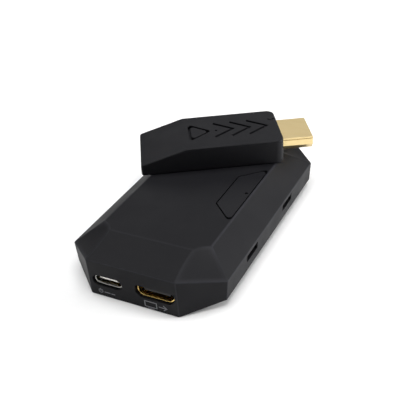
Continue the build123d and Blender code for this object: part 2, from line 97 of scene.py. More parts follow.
# ---- Sizes and colours that a user may change ----
class STREAM_PG_shell(PropertyGroup):
    """Sizes of the box's faceted housing."""
    end_half: length("End Face Half Width", "Half the width of the front and rear faces", 13.7)
    corner_depth: length("Corner Depth", "How far each cut corner reaches along the side", 9.3)
    end_top: length("End Face Top", "Height of the top edge of the front and rear faces", 12.0)
    side_top: length("Side Wall Top", "Height of the top edge of the long side walls", 8.8)
    side_foot: length("Side Wall Foot", "Height of the lower edge of the long side walls", 2.4)
    draft: length("Draft", "How far the walls lean in at their foot", 0.55)
    ridge_half: length("Ridge Half Width", "Half the width of the flat top", 17.0)
    ridge_setback: length("Ridge Setback", "Distance of the flat top's side corners from the end face", 15.2)
    end_ridge_half: length("End Ridge Half Width", "Half the width of the flat top's end edge", 13.2)
    end_ridge_setback: length("End Ridge Setback", "Distance of the flat top's end edge from the end", 12.0)
    top_bow: length("Top Bow", "How far the top edge of each corner facet bows inward", 0.55)
    side_bow: length("Side Bow", "How far the end edge of each corner facet bows sideways", 0.35)
    under_half: length("Underside Half Width", "Half the width of the flat underside", 16.5)
    under_setback: length("Underside Setback", "Distance of the underside's side corners from the end", 11.0)
    wall: length("Wall", "Wall thickness of the housing", 1.4)
    ridge_softness: length("Ridge Softness", "Width of the rounding on the ridges of the top", 1.1)
    rim_softness: length("Rim Softness", "Width of the rounding where the top meets the walls", 0.7)
    cut_softness: length("Cut Softness", "Width of the rounding on the edges of openings", 0.12)
    lid_inset: length("Lid Inset", "Distance of the lid's rim from the outside of the walls", 0.7)
    lid_step: length("Lid Step", "Height of the rebate that the lid sits in", 3.4)
    port_gap: length("Port Gap", "Gap between a port's sleeve and the housing", 0.2)
    port_corner: length("Video Port Corner", "Size of the two cut corners of the video port", 1.3)
    slot_length: length("Slot Length", "Length of the slots in the long sides", 7.6)
    slot_height: length("Slot Height", "Height of the slots in the long sides", 2.2)
    slot_top: length("Slot Top", "Height of the upper edge of the slots", 7.95)
    slot_depth: length("Slot Depth", "How deep the slots are cut from the outside", 2.1)
    button_inner: length("Button Inner Edge", "Distance of the button's short edge from the middle", 9.3)
    button_short: length("Button Short Half", "Half the length of the button's short edge", 8.0)
    button_long: length("Button Long Half", "Half the length of the button's long edge", 14.8)
    button_corner: length("Button Corner", "Corner radius of the button", 0.9)
    button_gap: length("Button Gap", "Gap between the button and the housing", 0.4)


class STREAM_PG_dongle(PropertyGroup):
    """Sizes of the dongle's housing, along and across its own length."""
    length: length("Length", "Length of the housing without its plug", 45.2)
    width: length("Width", "Width of the housing", 22.4)
    tail_height: length("Tail Height", "Height of the thin end", 3.55)
    bend: length("Bend", "Distance from the plug end to where the top starts to slope", 30.6)
    corner: length("Plug End Corner", "Corner radius at the plug end", 2.6)
    tail_corner: length("Tail Corner", "Corner radius at the thin end", 0.8)
    wall: length("Wall", "Wall thickness of the housing", 1.1)
    lid_inset: length("Lid Inset", "Distance of the lid's rim from the outside", 0.55)
    softness: length("Softness", "Width of the rounding on the outside edges", 0.45)
    cut_softness: length("Cut Softness", "Width of the rounding on the edges of openings", 0.08)
    seam: length("Seam", "Gap round the plug", 0.1)
    plug_width: length("Plug Width", "Width of the plug's sleeve", 13.9)
    plug_side: length("Plug Side", "Height of the upright part of the plug's sides", 2.6)
    plug_taper: length("Plug Taper", "How far each side of the plug draws in towards its underside", 1.5)
    plug_seam_depth: length("Plug Seam Depth", "Depth of the seam along each side of the plug", 0.22)
    plug_seam_low: length("Plug Seam Low", "Height of the lower edge of the plug's seam", 5.42)
    plug_seam_high: length("Plug Seam High", "Height of the upper edge of the plug's seam", 5.7)
    button_base: position("Button Base", "Place of the triangle's flat side", -28.5)
    button_tip: position("Button Tip", "Place of the triangle's point", -23.0)
    button_half: length("Button Half", "Half the length of the triangle's flat side", 4.6)
    button_corner: length("Button Corner", "Corner radius of the triangle", 0.9)
    button_gap: length("Button Gap", "Gap between the triangle and the housing", 0.75)
    pinhole_x: position("Pinhole Place", "Place of the light's pinhole", -20.3)
    pinhole: length("Pinhole Radius", "Radius of the light's pinhole", 0.5)
    groove: length("Groove Width", "Width of the engraved strokes", 1.0)
    groove_depth: length("Groove Depth", "Depth of the engraved strokes", 0.6)
    last_tip: position("Last Arrow", "Place of the point of the last arrow", -3.6)
    arrow_pitch: length("Arrow Pitch", "Distance from one arrow to the next", 5.5)
    arrow_reach: length("Arrow Reach", "Length of each arrow", 6.1)
    arrow_half: length("Arrow Half", "Half the width of each arrow", 4.8)
    arrow_y: length("Arrow Offset", "How far the arrows sit off the middle line", 0.3)
    curl_x: position("Curl Place", "Place of the small half ring", -1.8)
    curl_y: length("Curl Offset", "How far the small half ring sits off the middle line", 5.0)
    curl_outer: length("Curl Radius", "Outer radius of the small half ring", 1.15)
    curl_inner: length("Curl Inner Radius", "Inner radius of the small half ring", 0.55)


class STREAM_PG_finish(PropertyGroup):
    """Colours of the materials."""
    shell: colour("Housing", "Black of the soft-touch housings", "#131316")
    grain: colour("Housing Grain", "Lighter tone that the moulded grain catches", "#18181b")
    # Painted highlight: the lighter ridge tone stands in for the light that the rounded ridges catch.
    ridge_highlight: colour("Highlighted Ridges", "Lighter tone along the ridges of the housings", "#2a2a2e")
    cap: colour("Buttons", "Black of the two push buttons", "#18181b")
    dongle: colour("Dongle Housing", "Black of the dongle's housing", "#17171a")
    gold: colour("Gold", "Gold plating of the plug", "#e6cf99")
    pale_gold: colour("Port Gold", "Gold plating of the video port", "#f2cf80")
    nickel: colour("Nickel", "Nickel plating of the USB port", "#e6e4de")
    ink: colour("Ink", "Grey of the printed port marks", "#77777c")


# ---- Materials ----
def add_node(tree, kind, settings=None, links=None):
    """A node with its settings, by attribute or input name, and the sockets that feed it."""
    node = tree.nodes.new(kind)
    for key, value in (settings or {}).items():
        if key in node.inputs:
            node.inputs[key].default_value = value
        else:
            setattr(node, key, value)
    for key, source in (links or {}).items():
        tree.links.new(source, node.inputs[key])
    return node


def new_material(name, **settings):
    """A material with one principled shader, and the object's own coordinates to hang patterns on."""
    material = bpy.data.materials.get(name)
    if material:
        return material, None, None, None
    material = bpy.data.materials.new(name)
    material.use_nodes = True
    tree = material.node_tree
    tree.nodes.clear()
    shader = add_node(tree, "ShaderNodeBsdfPrincipled", settings)
    add_node(tree, "ShaderNodeOutputMaterial", links={"Surface": shader.outputs["BSDF"]})
    place = add_node(tree, "ShaderNodeTexCoord").outputs["Object"]
    return material, tree, shader, place


def grain_nodes(tree, shader, place, size, depth, rough_low, rough_high):
    """A fine moulded or blasted grain of a real size: a bump, and a roughness that varies more broadly.
    Returns the fine and the broad pattern."""
    noise = add_node(tree, "ShaderNodeTexNoise", {"Scale": 1 / size, "Detail": 3.0, "Roughness": 0.6},
                     {"Vector": place})
    bump = add_node(tree, "ShaderNodeBump", {"Strength": 0.5, "Distance": depth},
                    {"Height": noise.outputs["Fac"]})
    tree.links.new(bump.outputs["Normal"], shader.inputs["Normal"])
    broad = add_node(tree, "ShaderNodeTexNoise", {"Scale": 1 / (size * 40), "Detail": 2.0}, {"Vector": place})
    rough = add_node(tree, "ShaderNodeMapRange", {"From Min": 0.35, "From Max": 0.65, "To Min": rough_low,
                                                  "To Max": rough_high}, {"Value": broad.outputs["Fac"]})
    tree.links.new(rough.outputs["Result"], shader.inputs["Roughness"])
    return noise.outputs["Fac"], broad.outputs["Fac"]


def tint_nodes(tree, shader, factor, dark, light):
    """The base colour runs between two near tones with a pattern."""
    mix = add_node(tree, "ShaderNodeMix", {"data_type": "RGBA"}, {"Factor": factor})
    mix.inputs["A"].default_value = dark
    mix.inputs["B"].default_value = light
    tree.links.new(mix.outputs["Result"], shader.inputs["Base Color"])
    return mix.outputs["Result"]


def finish():
    """The colours that a user may change."""
    return bpy.context.scene.stream_finish


def soft_touch_abs(name, dark):
    """ABS moulded in a spark-eroded tool: an even matt black whose grain breaks up every highlight,
    with a painted highlight: a lighter tone along its ridges that stands in for the light their rounding
    catches.
    The real grain is about 0.1 mm; it is drawn at 0.3 mm so that it shows."""
    material, tree, shader, place = new_material(name, IOR=1.47)
    if tree:
        shader.inputs["Specular IOR Level"].default_value = 0.15
        fine = grain_nodes(tree, shader, place, 0.3 * MM, 0.02 * MM, 0.5, 0.6)[0]
        base = tint_nodes(tree, shader, fine, dark, finish().grain)
        # Painted highlight: the ridge attribute lightens the base colour towards the ridge tone along the
        # ridges.
        ridge = add_node(tree, "ShaderNodeAttribute", {"attribute_name": "ridge"})
        ridge_highlight = add_node(tree, "ShaderNodeMix", {"data_type": "RGBA"}, {"Factor": ridge.outputs["Fac"]})
        tree.links.new(base, ridge_highlight.inputs["A"])
        ridge_highlight.inputs["B"].default_value = finish().ridge_highlight
        tree.links.new(ridge_highlight.outputs["Result"], shader.inputs["Base Color"])
    return material


def plated(name, tone, rough_low, rough_high):
    """Bright plating over drawn sheet: a satin metal with faint drawing lines 0.15 mm apart."""
    material, tree, shader, place = new_material(name, Metallic=1.0)
    if tree:
        shader.inputs["Base Color"].default_value = tone
        stretched = add_node(tree, "ShaderNodeMapping", {"Scale": (1.0, 6.0, 1.0)}, {"Vector": place})
        grain_nodes(tree, shader, stretched.outputs["Vector"], 0.15 * MM, 0.002 * MM, rough_low, rough_high)
    return material


def moulded_lcp():
    """Glass-filled connector plastic: dense black with a faint sheen."""
    material, tree, shader, place = new_material("moulded LCP connector plastic", IOR=1.5)
    if tree:
        fine = grain_nodes(tree, shader, place, 0.12 * MM, 0.004 * MM, 0.4, 0.5)[0]
        tint_nodes(tree, shader, fine, linear("#0b0b0c"), linear("#151516"))
    return material


def solder_mask():
    """Glass-epoxy board under green solder mask, with the woven cloth just showing."""
    material, tree, shader, place = new_material("FR-4 under green solder mask", IOR=1.5)
    if tree:
        weave = add_node(tree, "ShaderNodeTexWave", {"Scale": 1 / (0.5 * MM), "Distortion": 0.4},
                         {"Vector": place})
        tint_nodes(tree, shader, weave.outputs["Fac"], linear("#0c3a22"), linear("#114a2b"))
        grain_nodes(tree, shader, place, 0.25 * MM, 0.003 * MM, 0.3, 0.4)
    return material


def plain_grained(name, dark, light, size, rough, metallic=0.0):
    """Any other small part: a fine grain and a slight mottle of its own tone."""
    material, tree, shader, place = new_material(name, Metallic=metallic)
    if tree:
        fine = grain_nodes(tree, shader, place, size, size * 0.03, rough - 0.06, rough + 0.06)[0]
        tint_nodes(tree, shader, fine, linear(dark), linear(light))
    return material


def clear_light_guide():
    """Smoked polycarbonate pipe, unlit: a dark pinhole with a faint sheen."""
    material, tree, shader, place = new_material("moulded smoked polycarbonate light guide", IOR=1.58)
    if tree:
        broad = grain_nodes(tree, shader, place, 0.2 * MM, 0.002 * MM, 0.3, 0.4)[1]
        tint_nodes(tree, shader, broad, linear("#050506"), linear("#0b0b0c"))
    return material


def pad_ink(tone):
    """Pad-printed ink: thin grey film that lets the grain through."""
    material, tree, shader, place = new_material("pad printed grey ink", IOR=1.48)
    if tree:
        fine = grain_nodes(tree, shader, place, 0.2 * MM, 0.006 * MM, 0.45, 0.6)[0]
        faded = [c * 0.75 for c in tone[:3]] + [1.0]
        tint_nodes(tree, shader, fine, faded, tone)
    return material


def shell_plastic():
    return soft_touch_abs("moulded ABS soft-touch black", finish().shell)


def dongle_plastic():
    return soft_touch_abs("moulded ABS matt dongle black", finish().dongle)


def cap_plastic():
    return soft_touch_abs("moulded ABS matt button black", finish().cap)


# ---- Mesh helpers ----
def to_object(mesh_data, name):
    """A bmesh as a new object at the origin."""
    mesh = bpy.data.meshes.new(name)
    mesh_data.to_mesh(mesh)
    mesh_data.free()
    obj = bpy.data.objects.new(name, mesh)
    bpy.context.scene.collection.objects.link(obj)
    return obj


def bake(obj):
    """Every modifier made into the mesh itself."""
    bpy.context.view_layer.update()
    evaluated = obj.evaluated_get(bpy.context.evaluated_depsgraph_get())
    mesh = bpy.data.meshes.new_from_object(evaluated)
    obj.modifiers.clear()
    obj.data = mesh
    return obj


def cad_copy(node, name):
    """A welded copy of a CAD node, its flat faces made whole again."""
    copy = bmesh.new()
    copy.from_mesh(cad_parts[node].data)
    bmesh.ops.remove_doubles(copy, verts=copy.verts, dist=0.002 * MM)
    bmesh.ops.dissolve_limit(copy, angle_limit=math.radians(0.6), verts=copy.verts, edges=copy.edges)
    return to_object(copy, name)


def soften(obj, width, segments=2, angle=30, weights=False):
    """Rounded edges: those past an angle, or those that carry a weight."""
    bevel = obj.modifiers.new("round", "BEVEL")
    bevel.width = width
    bevel.segments = segments
    bevel.limit_method = "WEIGHT" if weights else "ANGLE"
    bevel.angle_limit = math.radians(angle)
    bevel.miter_outer = "MITER_ARC"
    bevel.use_clamp_overlap = True
    return bake(obj)


def shade(obj):
    """Smooth shading that keeps the flat faces flat."""
    for face in obj.data.polygons:
        face.use_smooth = True
    even = obj.modifiers.new("even", "WEIGHTED_NORMAL")
    even.weight = 100
    even.keep_sharp = False
    return bake(obj)


def carve(obj, cutter, operation="DIFFERENCE"):
    """A boolean with a cutter that is then thrown away."""
    cut = obj.modifiers.new("cut", "BOOLEAN")
    cut.operation = operation
    cut.solver = "EXACT"
    cut.object = cutter
    bake(obj)
    bpy.data.objects.remove(cutter)
    return obj


def prism(outline, low, high, name="cutter"):
    """A closed prism over an outline of (x, y) points."""
    solid = bmesh.new()
    bottom = [solid.verts.new((x, y, low)) for x, y in outline]
    face = solid.faces.new(bottom)
    grown = bmesh.ops.extrude_face_region(solid, geom=[face])
    lifted = [v for v in grown["geom"] if isinstance(v, bmesh.types.BMVert)]
    bmesh.ops.translate(solid, verts=lifted, vec=(0, 0, high - low))
    bmesh.ops.recalc_face_normals(solid, faces=solid.faces)
    return to_object(solid, name)


def arc(start, end, steps):
    """Evenly spaced angles in radians, between two angles in degrees."""
    return [math.radians(start + (end - start) * index / steps) for index in range(steps + 1)]


def ring(x, y, radius, angles):
    """Points round a centre."""
    return [(x + radius * math.cos(a), y + radius * math.sin(a)) for a in angles]


def rounded(points, radius, steps=6):
    """The outline with each of its corners rounded by an arc."""
    result = []
    count = len(points)
    for index in range(count):
        before, here, after = (Vector(points[(index + k) % count]) for k in (-1, 0, 1))
        to_before = (before - here).normalized()
        to_after = (after - here).normalized()
        half = to_before.angle(to_after) / 2
        reach = radius / math.tan(half)
        centre = here + (to_before + to_after).normalized() * radius / math.sin(half)
        start = here + to_before * reach - centre
        turn = start.angle_signed(here + to_after * reach - centre)
        for step in range(steps + 1):
            arm = start.copy()
            arm.rotate(Matrix.Rotation(-turn * step / steps, 2))
            result.append(tuple(centre + arm))
    return result


def place_piece(obj, body, slot, material, *nodes):
    """The last steps of every piece: material, body and the CAD nodes it stands for, which are hidden. The
    slot is not used.
    """
    obj.data.materials.clear()
    obj.data.materials.append(material)
    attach(obj, body)
    if nodes:
        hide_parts(*nodes)
    return obj


def softened_copy(node, name, body, slot, material, width=0.1, angle=40):
    """A CAD node as a finished piece with rounded edges."""
    piece = cad_copy(node, name)
    soften(piece, width * MM, angle=angle)
    shade(piece)
    return place_piece(piece, body, slot, material, node)


# ---- Geometry node trees for what repeats ----
def copies_tree(name, inputs, make_points):
    """Copies of the object's own mesh at the points that a function makes from the tree's inputs."""
    tree = bpy.data.node_groups.get(name)
    if tree:
        return tree
    tree = bpy.data.node_groups.new(name, "GeometryNodeTree")
    for label, kind in (("Geometry", "Geometry"), *inputs, ("Material", "Material")):
        tree.interface.new_socket(label, in_out="INPUT", socket_type="NodeSocket" + kind)
    tree.interface.new_socket("Geometry", in_out="OUTPUT", socket_type="NodeSocketGeometry")
    source = add_node(tree, "NodeGroupInput").outputs
    copies = add_node(tree, "GeometryNodeInstanceOnPoints", links={
        "Points": make_points(tree, source).outputs["Mesh"], "Instance": source["Geometry"]})
    real = add_node(tree, "GeometryNodeRealizeInstances", links={"Geometry": copies.outputs["Instances"]})
    painted = add_node(tree, "GeometryNodeSetMaterial", links={
        "Geometry": real.outputs["Geometry"], "Material": source["Material"]})
    add_node(tree, "NodeGroupOutput", links={"Geometry": painted.outputs["Geometry"]})
    return tree


def row_points(tree, source):
    return add_node(tree, "GeometryNodeMeshLine", links={
        "Count": source["Count"], "Start Location": source["Start"], "Offset": source["Step"]})


def row_tree():
    """Copies in a straight row."""
    inputs = (("Count", "Int"), ("Start", "Vector"), ("Step", "Vector"))
    return copies_tree("Row Of Copies", inputs, row_points)


def corner_grid(tree, source):
    return add_node(tree, "GeometryNodeMeshGrid", {"Vertices X": 2, "Vertices Y": 2}, {
        "Size X": source["Width"], "Size Y": source["Length"]})


def corner_tree():
    """Copies at the four corners of a rectangle."""
    return copies_tree("Corner Copies", (("Width", "Float"), ("Length", "Float")), corner_grid)


def run_tree(obj, tree, **values):
    """The tree's result as the object's own mesh, with the inputs set by name."""
    maker = obj.modifiers.new("copies", "NODES")
    maker.node_group = tree
    for item in tree.interface.items_tree:
        name = item.name.lower()
        if item.in_out == "INPUT" and name in values:
            maker[item.identifier] = values[name]
    return bake(obj)


# ---- The box ----
def plan_corner(s, inset):
    """Where the plan's slanted corner meets the end face and the side wall, drawn in by an inset."""
    across = SHELL_HIGH.x - s.end_half
    slant = math.hypot(across, s.corner_depth)
    end_x = s.end_half - inset * (slant - across) / s.corner_depth
    side_y = SHELL_HIGH.y - s.corner_depth - inset * (slant - s.corner_depth) / across
    return end_x, side_y


def corner_points(s, sx, sy, inset=0.0):
    """The named outside points of one corner of the box, drawn in by an inset."""
    half_x = SHELL_HIGH.x - inset
    half_y = SHELL_HIGH.y - inset
    end_x, side_y = plan_corner(s, inset)
    top = SHELL_HIGH.z - inset
    # The edges of slanted faces move in by a share of the inset.
    return {
        "end_top": Vector((sx * end_x, sy * half_y, s.end_top - inset)),
        "side_top": Vector((sx * half_x, sy * side_y, s.side_top - inset * 0.6)),
        "end_foot": Vector((sx * end_x, sy * (half_y - s.draft), SHELL_LOW.z + inset)),
        "side_foot": Vector((sx * (half_x - s.draft), sy * side_y, s.side_foot + inset)),
        "ridge": Vector((sx * (s.ridge_half - inset * 0.3), sy * (half_y + inset - s.ridge_setback), top)),
        "end_ridge": Vector((sx * (s.end_ridge_half - inset * 0.2),
                             sy * (half_y + inset - s.end_ridge_setback), top)),
        "under": Vector((sx * s.under_half, sy * (half_y + inset - s.under_setback), SHELL_LOW.z + inset)),
    }


def corner_patch(s, p, sx, sy, steps):
    """Rows of points over one corner facet, a gently twisted patch between its four edges."""
    inward = Vector((-sx * 0.63, -sy * 0.77, 0)) * s.top_bow
    sideways = Vector((-sx, 0, 0)) * s.side_bow
    rows = []
    for v_index in range(steps + 1):
        v = v_index / steps
        row = []
        for u_index in range(steps + 1):
            u = u_index / steps
            left = p["end_top"].lerp(p["end_ridge"], v) + sideways * math.sin(math.pi * v)
            right = p["side_top"].lerp(p["ridge"], v)
            base = p["end_top"].lerp(p["side_top"], u)
            top = p["end_ridge"].lerp(p["ridge"], u) + inward * math.sin(math.pi * u)
            ruled = left.lerp(right, u) + base.lerp(top, v)
            row.append(ruled - base.lerp(p["end_ridge"].lerp(p["ridge"], u), v))
        rows.append(row)
    return rows


def faceted_solid(s, inset=0.0, steps=8):
    """The closed outside of the box, flat facets with a patch at each corner."""
    solid = bmesh.new()
    corner = {(sx, sy): corner_points(s, sx, sy, inset) for sx in (1, -1) for sy in (1, -1)}
    patch = {key: corner_patch(s, corner[key], *key, steps) for key in corner}

    def add(points):
        solid.faces.new([solid.verts.new(point) for point in points])

    def add_band(first, second, low, high):
        add([corner[first][low], corner[second][low], corner[second][high], corner[first][high]])

    def edge_of(key, column):
        return [row[column] for row in patch[key]]

    top_loop = []
    for key, forward in (((1, -1), True), ((1, 1), False), ((-1, 1), True), ((-1, -1), False)):
        edge = patch[key][-1]
        top_loop += edge if forward else edge[::-1]
    add(top_loop)
    add([corner[key]["under"] for key in ((1, 1), (1, -1), (-1, -1), (-1, 1))])
    for sy in (1, -1):
        add(edge_of((1, sy), 0) + edge_of((-1, sy), 0)[::-1])
        add_band((-1, sy), (1, sy), "end_foot", "end_top")
        add_band((-1, sy), (1, sy), "end_foot", "under")
    for sx in (1, -1):
        add(edge_of((sx, -1), -1) + edge_of((sx, 1), -1)[::-1])
        add_band((sx, -1), (sx, 1), "side_foot", "side_top")
        add_band((sx, -1), (sx, 1), "side_foot", "under")
    for key, rows in patch.items():
        add([corner[key]["end_foot"], corner[key]["side_foot"]] + rows[0][::-1])
        add([corner[key][name] for name in ("end_foot", "side_foot", "under")])
        for v in range(steps):
            for u in range(steps):
                add([rows[v][u], rows[v][u + 1], rows[v + 1][u + 1], rows[v + 1][u]])
    bmesh.ops.remove_doubles(solid, verts=solid.verts, dist=0.001 * MM)
    bmesh.ops.recalc_face_normals(solid, faces=solid.faces)
    return solid


def weigh_edges(solid, s):
    """Bevel weights: the ridges round most, the rim less, and faces that nearly agree not at all.
    Returns the ends of every ridge with the width of its rounding and the strength of its painted highlight."""
    weight = solid.edges.layers.float.new("bevel_weight_edge")
    rim = s.rim_softness / s.ridge_softness
    ridges = []
    for edge in solid.edges:
        turn = math.degrees(edge.calc_face_angle(0))
        if turn > RIM_TURN and max(v.co.z for v in edge.verts) < s.end_top + 0.1 * MM:
            edge[weight] = rim
        elif turn > LEAST_TURN:
            edge[weight] = 1.0
        if edge[weight]:
            start, end = (vertex.co.copy() for vertex in edge.verts)
            # The last value is the strength of the painted highlight, stronger on steeper edges.
            ridges.append((start, end, edge[weight] * s.ridge_softness, min(turn / RIM_TURN, 1.0) ** 2))
    return ridges


def paint_ridge_highlight(obj, ridges):
    """A painted highlight: an attribute that is 1 along the ridges and falls to 0 where their rounding ends.
    """
    flat = set()
    for face in obj.data.polygons:
        corners = [obj.data.vertices[index].co for index in face.vertices]
        around = sum((a - b).length for a, b in zip(corners, corners[1:] + corners[:1]))
        if face.area / around > WIDE_FACE:
            flat.update(face.vertices)
    marks = []
    for vertex in obj.data.vertices:
        best = 0.0
        for start, end, width, ridge_highlight in () if vertex.index in flat else ridges:
            near, along = intersect_point_line(vertex.co, start, end)
            near = start.lerp(end, min(max(along, 0.0), 1.0))
            best = max(best, ridge_highlight - ridge_highlight * (vertex.co - near).length / width)
        marks.append(best)
    obj.data.attributes.new("ridge", "FLOAT", "POINT").data.foreach_set("value", marks)


def octagon(s, inset):
    """The plan outline of the box, drawn in by an inset."""
    half_x = SHELL_HIGH.x - inset
    half_y = SHELL_HIGH.y - inset
    end_x, side_y = plan_corner(s, inset)
    return [(end_x, -half_y), (half_x, -side_y), (half_x, side_y), (end_x, half_y),
            (-end_x, half_y), (-half_x, side_y), (-half_x, -side_y), (-end_x, -half_y)]


def port_outline(node, grow, corner=0.0):
    """The outline of a port's sleeve in (x, z) about its middle: round ends, or two cut lower corners."""
    low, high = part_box(node)
    half_x = (high.x - low.x) / 2 + grow
    half_z = (high.z - low.z) / 2 + grow
    if not corner:
        return rounded([(-half_x, -half_z), (half_x, -half_z), (half_x, half_z), (-half_x, half_z)],
                       half_z * 0.98, 10)
    cut = corner + grow * (2 - math.sqrt(2))
    outline = [(-half_x, half_z), (half_x, half_z), (half_x, -half_z + cut),
               (half_x - cut, -half_z), (-half_x + cut, -half_z), (-half_x, -half_z + cut)]
    return rounded(outline[::-1], half_z * 0.45, 6)


def facing_front(obj, node, y):
    """Turns a flat-lying prism to run along Y, in line with a port."""
    low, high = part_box(node)
    centre = Vector(((low.x + high.x) / 2, y, (low.z + high.z) / 2))
    obj.data.transform(Matrix.Translation(centre) @ Matrix.Rotation(math.radians(90), 4, "X"))
    return obj


def port_cutter(node, grow, corner=0.0):
    """A prism through the front wall, round the shell of a port."""
    reach = 4 * MM
    return facing_front(prism(port_outline(node, grow, corner), -reach, reach), node, SHELL_LOW.y)


def port_sleeve(name, node, corner, material, slot):
    """A port's drawn sleeve, with rounded corners and a rolled front edge."""
    low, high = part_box(node)
    depth = high.y - low.y
    wall = SLEEVE_WALL
    sleeve = facing_front(prism(port_outline(node, 0, corner), 0, depth, name), node, high.y)
    carve(sleeve, facing_front(prism(port_outline(node, -wall, corner), -wall, depth + wall), node, high.y))
    soften(sleeve, wall / 3, angle=50)
    shade(sleeve)
    return place_piece(sleeve, "box", slot, material, node)


def button_outline(s, grow):
    """The trapezoid of the box's button."""
    low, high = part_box("box_button")
    middle = (low.y + high.y) / 2
    slant = (s.button_long - s.button_short) / (high.x - s.button_inner)
    spread = grow * math.hypot(1, slant)
    inner, outer = s.button_inner - grow, high.x + grow
    short = s.button_short + spread - grow * slant
    long = s.button_long + spread + grow * slant
    outline = [(inner, -short), (outer, -long), (outer, long), (inner, short)]
    return [(x, y + middle) for x, y in rounded(outline, s.button_corner)]


def slab(low, high):
    """A closed block between two corners."""
    return prism([(low.x, low.y), (high.x, low.y), (high.x, high.y), (low.x, high.y)], low.z, high.z)


class STREAM_OT_box_shell(Operator):
    """Builds the box's faceted top cover with its openings"""
    bl_idname = "stream.box_shell"
    bl_label = "Box Shell"

    def execute(self, context):
        s = context.scene.stream_shell
        solid = faceted_solid(s)
        ridges = weigh_edges(solid, s)
        shell = to_object(solid, "box_shell")
        soften(shell, s.ridge_softness, segments=5, weights=True)
        carve(shell, to_object(faceted_solid(s, s.wall, 2), "cutter"))
        carve(shell, prism(octagon(s, s.lid_inset), SHELL_LOW.z - s.wall, s.lid_step))
        carve(shell, port_cutter("usb_shell", s.port_gap))
        carve(shell, port_cutter("video_shell", s.port_gap, s.port_corner))
        carve(shell, prism(button_outline(s, s.button_gap), s.side_top, SHELL_HIGH.z + s.wall))
        for sx in (1, -1):
            for place in SLOT_PLACES:
                middle = Vector((sx * SHELL_HIGH.x, place, s.slot_top - s.slot_height / 2))
                reach = Vector((s.slot_depth, s.slot_length / 2, s.slot_height / 2))
                carve(shell, slab(middle - reach, middle + reach))
        soften(shell, s.cut_softness, angle=40)
        shade(shell)
        # Painted highlight: an attribute along the ridges that the shader lightens.
        paint_ridge_highlight(shell, ridges)
        place_piece(shell, "box", "soft_touch_black", shell_plastic(), "box_top_cover")
        return {"FINISHED"}


class STREAM_OT_box_lid(Operator):
    """Builds the faceted lid under the box"""
    bl_idname = "stream.box_lid"
    bl_label = "Box Lid"

    def execute(self, context):
        softened_copy("box_bottom_cover", "box_lid", "box", "lid_black", shell_plastic(), 0.15, 30)
        return {"FINISHED"}


class STREAM_OT_lid_screws(Operator):
    """Builds the four screws that hold the lid"""
    bl_idname = "stream.lid_screws"
    bl_label = "Lid Screws"

    def execute(self, context):
        low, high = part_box("cover_screws")
        head, crest, root, pitch, first_crest = 1.9, 0.95, 0.75, 0.7, 1.4
        screw = bmesh.new()
        profile = [(0.0, 0.0), (1.2, 0.0), (1.7, 0.18), (head, 0.5), (head, 1.1), (crest, 1.1)]
        for turn in range(9):
            height = first_crest + turn * pitch
            profile += [(crest, height), (root, height + pitch / 2)]
        profile += [(0.5, 7.9), (0.0, 8.2)]
        points = [screw.verts.new((r * MM, 0, z * MM)) for r, z in profile]
        edges = [screw.edges.new(pair) for pair in zip(points, points[1:])]
        bmesh.ops.spin(screw, geom=points + edges, cent=(0, 0, 0), axis=(0, 0, 1), angle=math.tau,
                       steps=24, use_duplicate=False)
        bmesh.ops.remove_doubles(screw, verts=screw.verts, dist=0.001 * MM)
        bmesh.ops.recalc_face_normals(screw, faces=screw.faces)
        piece = to_object(screw, "lid_screws")
        for turn in (0, 90):
            arm = slab(Vector((-1.1, -0.22, -0.5)) * MM, Vector((1.1, 0.22, 0.6)) * MM)
            arm.data.transform(Matrix.Rotation(math.radians(turn), 4, "Z"))
            carve(piece, arm)
        soften(piece, 0.05 * MM, angle=50)
        piece.data.transform(Matrix.Translation((0, 0, low.z)))
        steel = plain_grained("black zinc plated steel", "#3a3a3d", "#505054", 0.2 * MM, 0.35, 1.0)
        span = high - low - Vector((2 * head, 2 * head, 0)) * MM
        run_tree(piece, corner_tree(), width=span.x, length=span.y, material=steel)
        shade(piece)
        place_piece(piece, "box", "screw_steel", steel, "cover_screws")
        return {"FINISHED"}


def contact_gold():
    return plated("hard gold plated contact", finish().pale_gold, 0.25, 0.35)


def contact_row(count, start, step, size, turn=0.0):
    """A row of thin gold contact strips with rounded ends."""
    half = Vector(size) * MM / 2
    strip = slab(-half, half)
    soften(strip, 0.03 * MM, segments=1)
    strip.data.transform(Matrix.Rotation(turn, 4, "Z"))
    run_tree(strip, row_tree(), count=count, start=start, step=step, material=contact_gold())
    return shade(strip)


def join_rows(rows, name, body, node):
    """Two rows as one piece."""
    joined = bmesh.new()
    for row in rows:
        joined.from_mesh(row.data)
        bpy.data.objects.remove(row)
    return place_piece(to_object(joined, name), body, "contact_gold", contact_gold(), node)


def port_contacts(name, node, size, pitch, rows):
    """A lower and an upper row of contacts, each with its count and its shift along the port."""
    low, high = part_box(node)
    half = Vector(size) * MM / 2
    made = []
    for (count, shift), z in zip(rows, (low.z + half.z, high.z - half.z)):
        start = (low.x + half.x + shift * MM, (low.y + high.y) / 2, z)
        made.append(contact_row(count, start, (pitch * MM, 0, 0), size))
    join_rows(made, name, "box", node)


class STREAM_OT_usb_port(Operator):
    """Builds the USB-C port: its plated sleeve, tongue and contacts"""
    bl_idname = "stream.usb_port"
    bl_label = "USB Port"

    def execute(self, context):
        nickel = plated("nickel plated deep-drawn steel", finish().nickel, 0.22, 0.32)
        port_sleeve("usb_sleeve", "usb_shell", 0, nickel, "nickel_plate")
        softened_copy("usb_tongue", "usb_tongue_block", "box", "connector_black", moulded_lcp(), 0.08)
        low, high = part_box("usb_tongue")
        lip = Vector(((low.x + high.x) / 2, low.y - 0.05 * MM, (low.z + high.z) / 2))
        across, back = Vector((3.28, 0, 0.37)) * MM, Vector((0, 0.4, 0)) * MM
        plate = slab(lip - across, lip + across + back)
        plate.name = "usb_mid_plate"
        soften(plate, 0.06 * MM)
        shade(plate)
        place_piece(plate, "box", "nickel_plate", nickel)
        port_contacts("usb_contact_strips", "usb_contacts", (0.24, 3.6, 0.08), 0.5, ((12, 0), (12, 0)))
        return {"FINISHED"}


